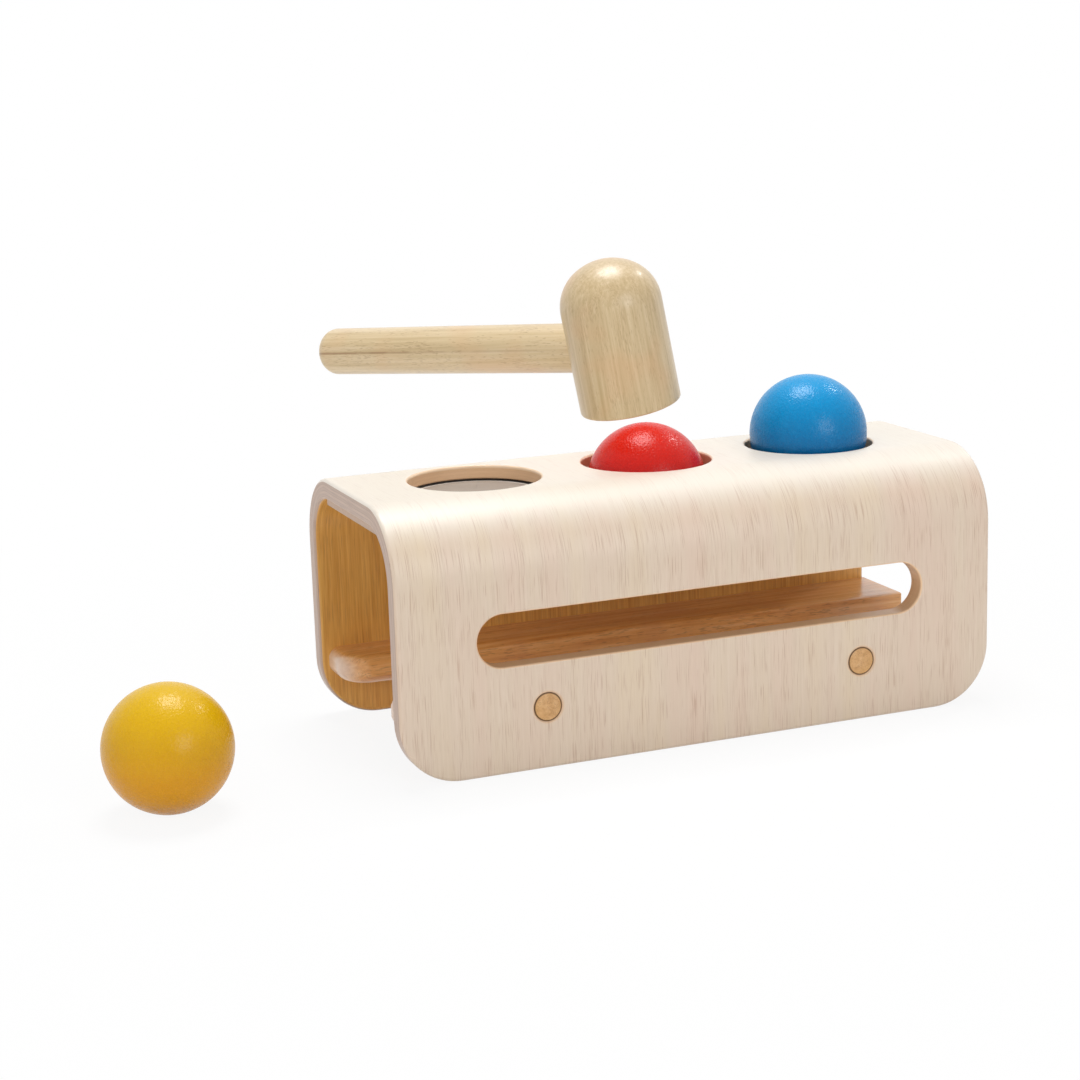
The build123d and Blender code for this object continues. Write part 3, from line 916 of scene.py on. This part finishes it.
def soft_box_ring(half_width, half_height, soft_edge, across=15, corner=4):
    """A box outline with round corners, for each half width at once.

    A side's point is (t * (W - r), +-H) with t from -1 to 1, and a corner's point is
    (W - r + r * cos a, H - r + r * sin a). Returns widths and heights, (rings, points).
    """
    edge = np.minimum(soft_edge, np.minimum(half_width, half_height) * 0.9)[:, None]
    along = np.linspace(-1, 1, across)
    turn = np.linspace(-pi / 2, pi / 2, 2 * corner + 1)[1:-1]
    end_height = np.sin(turn)
    share = np.concatenate([along, np.ones_like(turn), along[::-1], -np.ones_like(turn)])
    bulge = np.concatenate([0 * along, np.cos(turn), 0 * along, -np.cos(turn)])
    rise = np.concatenate([0 * along - 1, end_height, 0 * along + 1, end_height[::-1]])
    widths = share * (half_width[:, None] - edge) + bulge * edge
    side = np.sign(np.round(rise, 6))
    heights = side * (half_height[:, None] - edge) + rise * edge
    return widths, heights


def grip_ring(middle):
    """The clamped ring: a stepped outline with blunt corners, turned about the axis.

    A corner's points are C + b * ((1 - t)^2 * p + t^2 * q) with t from 0 to 1, where p
    and q are ways 1 mm long to the corners before and after it.
    """
    inside, bead_top = ROOT_RADIUS + 0.2, GRIP_UNDERSIDE + BEAD_HEIGHT
    outline = np.array(
        [
            (inside, GRIP_UNDERSIDE),
            (RIM_RADIUS, GRIP_UNDERSIDE),
            (RIM_RADIUS, bead_top),
            (BEAD_RADIUS, bead_top),
            (BEAD_RADIUS, GRIP_TOP),
            (inside, GRIP_TOP),
        ]
    )
    before = np.roll(outline, 1, axis=0) - outline
    after = np.roll(outline, -1, axis=0) - outline
    before /= np.linalg.norm(before, axis=1, keepdims=True)
    after /= np.linalg.norm(after, axis=1, keepdims=True)
    t = np.linspace(0, 1, 5)[None, :, None]
    bend = (1 - t) ** 2 * before[:, None] + t ** 2 * after[:, None]
    profile = (outline[:, None] + BLUNT * bend).reshape(-1, 2)
    turn = np.linspace(0, 2 * pi, RING_STEPS, endpoint=False)[:, None]
    reach = profile[None, :, 0]
    rows = np.stack(
        [
            middle.x + reach * np.cos(turn),
            middle.y + reach * np.sin(turn),
            profile[None, :, 1] + 0 * turn,
        ],
        axis=-1,
    )
    return looped_shell(rows * MM)


print("grip top", round(GRIP_TOP, 1), "mm")

# %% Petals
# petals start inside the ring and leave its upper face alone
ROOT_OVERLAP, SKIN_GAP = 0.5, 0.05
# half a slit's width: cut ones in the flat grip, and opened ones round a ball
CUT_SLIT, OPEN_SLIT = 0.012, 0.06
# a petal ends this far from the middle, at least this half width and share of thickness
TIP_REACH, TIP_HALF_WIDTH, TIP_SHARE = 0.25, 0.12, 0.4


def petal_way(ball_height, ball_radius, steps=28):
    """Side view of a petal's upper face: radius, height and the way out of the rubber.

    With no ball it runs level to the middle. With one it runs straight from its root
    to where it touches the ball's clearance circle, then round that circle.
    """
    if ball_height is None:
        reach = np.linspace(ROOT_RADIUS + ROOT_OVERLAP, TIP_REACH, steps)
        return reach, 0 * reach + GRIP_TOP - SKIN_GAP, 0 * reach, 0 * reach - 1
    circle = ball_radius + BALL_CLEARANCE
    drop = ball_height - GRIP_TOP
    away = sqrt(ROOT_RADIUS ** 2 + drop ** 2)
    straight = sqrt(away ** 2 - circle ** 2)
    touch = np.arctan2(-drop, ROOT_RADIUS) - np.arccos(circle / away)
    tip = touch - (ROOT_RADIUS - straight) / circle
    angle = np.linspace(touch, tip, steps)
    root = [ROOT_RADIUS + ROOT_OVERLAP, ROOT_RADIUS]
    reach = np.concatenate([root, circle * np.cos(angle)])
    height = np.concatenate([[GRIP_TOP - SKIN_GAP] * 2, ball_height + circle * np.sin(angle)])
    out_reach = np.concatenate([[0, np.cos(touch)], np.cos(angle)])
    out_height = np.concatenate([[-1, np.sin(touch)], np.sin(angle)])
    return reach, height, out_reach, out_height


def petal(middle, number, ball_height, ball_radius, thickness):
    """One petal: a soft box ring at each step of its way, bent round the hole's axis.

    A bent petal narrows from its root to its tip along a straight edge, seen from
    above, and a flat one fills its eighth of the circle. A point's radius is the way's
    reach plus its lift along the way out, and its angle is its width over the reach.
    """
    reach, height, out_reach, out_height = petal_way(ball_height, ball_radius)
    half_eighth = pi / PETALS
    if ball_height is None:
        spread = half_eighth - CUT_SLIT / reach
    else:
        edge = np.linspace(0, 1, 60)
        edge_x = reach[-1] + edge * (ROOT_RADIUS * cos(half_eighth) - reach[-1])
        edge_y = edge * ROOT_RADIUS * sin(half_eighth)
        edge_angle = np.arctan2(edge_y, edge_x)
        spread = np.interp(reach, np.hypot(edge_x, edge_y), edge_angle)
        spread -= OPEN_SLIT / reach
    half_width = np.maximum(spread * reach, TIP_HALF_WIDTH)
    # it keeps nearly all its thickness until close to its tip
    ease = np.linspace(1, 0, len(reach)) ** 0.15
    half_height = thickness / 2 * np.maximum(ease, TIP_SHARE)
    # the slits of the flat grip are cut after moulding, so their edges stay sharp
    soft_edge = SLIT_EDGE if ball_height is None else MOULD_EDGE
    widths, heights = soft_box_ring(half_width, half_height, soft_edge)
    lift = heights + thickness / 2
    radius = reach[:, None] + out_reach[:, None] * lift
    turn = 2 * half_eighth * number + widths / reach[:, None]
    rows = np.stack(
        [
            middle.x + radius * np.cos(turn),
            middle.y + radius * np.sin(turn),
            height[:, None] + out_height[:, None] * lift,
        ],
        axis=-1,
    )
    return closed_shell(rows * MM)


print("petals:", PETALS, "in each grip")

# %% The three grips
BENT_PETAL, FLAT_PETAL = 1.5, 1.9
BALL_IN = {"grip_left": None, "grip_middle": "red_ball", "grip_right": "blue_ball"}
for node, ball in BALL_IN.items():
    middle, _ = middle_and_half(node)
    ball_height = ball_radius = None
    if ball:
        ball_middle, ball_half = middle_and_half(ball)
        ball_height, ball_radius = ball_middle.z, ball_half.z
    thickness = BENT_PETAL if ball else FLAT_PETAL
    shells = [grip_ring(middle)] + [
        petal(middle, number, ball_height, ball_radius, thickness) for number in range(PETALS)
    ]
    grip = piece_from(f"moulded_{node}", shells, material_rubber)
    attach(grip, "bench")
    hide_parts(node)

# %% [markdown]
# ## Retainer board
# The strip that holds the grips is a dense grey fibreboard. Pressed fibres give it
# short pale flecks in all directions, which a fine noise shows well enough.

# %% Grey fibreboard
material_board, tree, shader = new_material(
    "grey_fibreboard", {"Roughness": 0.66, "IOR": 1.5}
)
FLECK_PER_MM = 0.8
fleck = {"Scale": FLECK_PER_MM, "Detail": 6, "Roughness": 0.7}
fleck = add(tree, "TexNoise", {"Vector": millimetres(tree), **fleck})
tone = add(
    tree, "Mix", {0: fleck, 6: linear("#b59c8b"), 7: linear("#d3bcab")}, data_type="RGBA"
)
bump = {"Strength": 0.3, "Distance": 0.05 * MM, "Height": fleck}
feed(tree, shader, {"Base Color": tone, "Normal": add(tree, "Bump", bump)})
print("board:", material_board.name)

# %% [markdown]
# ## Screws
# Zinc-plated steel screws sit under the plugs and in the strip. Plating gives a
# grey, slightly uneven metal, between polished and satin.

# %% Zinc-plated steel
material_zinc, tree, shader = new_material("zinc_plated_steel", {"Metallic": 1.0})
SPANGLE_PER_MM = 1.4
spangle = {"Vector": millimetres(tree), "Scale": SPANGLE_PER_MM, "Detail": 3}
spangle = add(tree, "TexNoise", spangle)
tone = add(
    tree, "Mix", {0: spangle, 6: linear("#8f9091"), 7: linear("#b9babb")}, data_type="RGBA"
)
rough = add(tree, "MapRange", {"Value": spangle, "To Min": 0.3, "To Max": 0.45})
feed(tree, shader, {"Base Color": tone, "Roughness": rough})
print("screws:", material_zinc.name)

# %% [markdown]
# ## Dress the solids
# A CAD solid whose shape is right stays as it is and only gets its finish.

# %% Finishes for the CAD nodes
finishes = {
    "bent_plywood_body": material_ply,
    "retainer_strip": material_board,
    "retainer_screws": material_zinc,
    "front_rail": rail_wood,
    "rear_rail": rail_wood,
    "front_rail_screws": material_zinc,
    "rear_rail_screws": material_zinc,
    "hammer_head": head_wood,
    "hammer_handle": handle_wood,
    **plug_materials,
}
for node, finish in finishes.items():
    slots = nodes[node].data.materials
    slots.clear()
    slots.append(finish)
print("dressed", len(finishes), "nodes")

# %% [markdown]
# ## Floor, world and lamps
# The photograph was made in a white studio: a broad soft light from above, a low
# soft one at the front right, a small one that leaves sharp highlights, and white
# all round. The floor and the world are shown white to the camera and in
# reflections, while the light that falls on the object stays at a plain level, so
# that a colour looks about as it is written. The floor still takes the shadow.

# %% White world
WHITE = linear("#ffffff")


def seen_straight(tree):
    """1 for what the camera, a gloss or a glass sees, and 0 for light on a dull surface."""
    rays = add(tree, "LightPath").outputs
    seen = rays["Is Camera Ray"]
    for way in ("Is Glossy Ray", "Is Transmission Ray"):
        seen = add(tree, "Math", {0: seen, 1: rays[way]}, operation="MAXIMUM")
    return seen


world = bpy.data.worlds.new("white_studio")
tree = empty_tree(world)
lighting = add(tree, "Background", {"Color": WHITE, "Strength": 0.32})
shown = add(tree, "Background", {"Color": WHITE, "Strength": 1.0})
both = add(tree, "MixShader", {0: seen_straight(tree), 1: lighting, 2: shown})
add(tree, "OutputWorld", {"Surface": both})
scene.world = world
print("world:", world.name)

# %% Floor
FLOOR_HALF, FLOOR_GAP = 3.0, 0.1 * MM
floor_mesh = bpy.data.meshes.new("floor")
corners = np.array([(-1, -1, 0), (1, -1, 0), (1, 1, 0), (-1, 1, 0)], float)
corners = corners * FLOOR_HALF - (0, 0, FLOOR_GAP)
floor_mesh.from_pydata(corners.tolist(), [], [(0, 1, 2, 3)])
floor = bpy.data.objects.new("floor", floor_mesh)
scene.collection.objects.link(floor)
floor_material = bpy.data.materials.new("white_studio_floor")
tree = empty_tree(floor_material)
matte = add(tree, "BsdfDiffuse", {"Color": linear("#f4f4f4")})
glow = add(tree, "Emission", {"Color": WHITE, "Strength": 1.0})
# near the bench the floor shows a faint shadow, and further out it is white
SHADOW_REACH, WHITE_REACH = 0.15, 0.5
place = add(tree, "TexCoord").outputs["Object"]
whitening = add(
    tree,
    "MapRange",
    {
        "Value": add(tree, "VectorMath", {0: place}, operation="LENGTH"),
        "From Min": SHADOW_REACH,
        "From Max": WHITE_REACH,
        "To Min": 0.9,
    },
    interpolation_type="SMOOTHSTEP",
)
share = add(tree, "Math", {0: seen_straight(tree), 1: whitening}, operation="MULTIPLY")
mixed = add(tree, "MixShader", {0: share, 1: matte, 2: glow})
add(tree, "OutputMaterial", {"Surface": mixed})
floor_mesh.materials.append(floor_material)
print("floor:", 2 * FLOOR_HALF, "m square")

# %% Lamps
LAMPS = {
    # name: direction from the bench, distance (m), size (m), level on a facing surface
    "overhead_softbox": ((0.01, 0.19, 0.98), 1.2, 0.52, 0.68),
    "left_wall": ((-0.88, -0.42, 0.2), 1.3, 1.2, 0.34),
    "right_front_softbox": ((0.19, -0.915, 0.357), 1.4, 0.6, 0.25),
    "right_small": ((0.66, 0.243, 0.71), 1.3, 0.08, 0.09),
}
# the lamps aim at the middle of the bench, about half-way up
AIM = Vector((0, bench_middle * MM, 0.05))
# the photograph lights the red ball as if the hammer above it threw no shade, so the
# hammer is left out of what blocks the lamps
lets_light_past = bpy.data.collections.new("lets_light_past")
for node in ("hammer_head", "hammer_handle"):
    lets_light_past.objects.link(nodes[node])
for entry in lets_light_past.collection_objects:
    entry.light_linking.link_state = "EXCLUDE"
for name, (direction, distance, size, level) in LAMPS.items():
    place = AIM + Vector(direction).normalized() * distance
    lamp_data = bpy.data.lights.new(name, "AREA")
    lamp_data.shape = "SQUARE"
    lamp_data.size = size
    # a flat lamp of P watts gives a facing surface P / (pi * distance) ** 2
    lamp_data.energy = level * (pi * distance) ** 2
    lamp = bpy.data.objects.new(name, lamp_data)
    lamp.matrix_world = Matrix.Translation(place) @ (
        (AIM - place).to_track_quat("-Z", "Y").to_matrix().to_4x4()
    )
    lamp.light_linking.blocker_collection = lets_light_past
    # gloss already shows the white world there, and a wall's glare on top would be too much
    lamp.visible_glossy = "wall" not in name
    scene.collection.objects.link(lamp)
    print(name, round(lamp_data.energy, 1), "W")

# %% [markdown]
# ## Finish
# The view transform is the plain one, so that a colour isn't bent by a film look.

# %% View
scene.view_settings.view_transform = "Standard"
